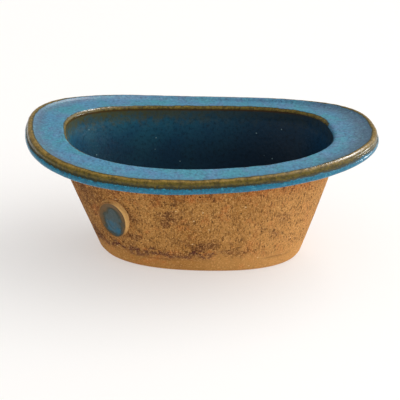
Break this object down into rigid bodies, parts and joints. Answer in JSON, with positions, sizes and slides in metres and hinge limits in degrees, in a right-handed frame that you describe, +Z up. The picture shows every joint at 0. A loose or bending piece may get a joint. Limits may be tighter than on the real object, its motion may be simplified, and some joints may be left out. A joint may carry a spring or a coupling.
{
  "type": "bonsai pot",
  "caption": "Oval bonsai pot: a raw stoneware body on a slab floor, a broad glazed rim with upswept ends, a glazed lining, a seal pad and screened drain holes.",
  "frame": {"origin": "on the ground, under the middle of the pot's overall box", "axes": "+Z up, +X along the pot's length towards its right end, -Y towards the front, where the seal is"},
  "size_m": [0.1798, 0.1178, 0.0681],
  "materials": {
    "raw_clay": "raw grogged stoneware, dry and scratched",
    "rim_blue_glaze": "satin blue glaze that breaks olive brown on its edges",
    "lining_teal_glaze": "glossy dark teal glaze",
    "seal_blue_glaze": "glossy pooled blue glaze",
    "screen_plastic": "moulded black plastic mesh",
    "clip_wire": "brown anodised wire"
  },
  "bodies": {
    "root": {"floor_slab": "raw_clay", "body_wall": "raw_clay", "rim_slab": "raw_clay", "rim_glaze": "rim_blue_glaze", "lining_glaze": "lining_teal_glaze", "seal_pad": "raw_clay", "seal_glaze": "seal_blue_glaze", "drain_screen_left": "screen_plastic", "drain_screen_right": "screen_plastic", "screen_clip_left": "clip_wire", "screen_clip_right": "clip_wire"}
  },
  "joints": []
}
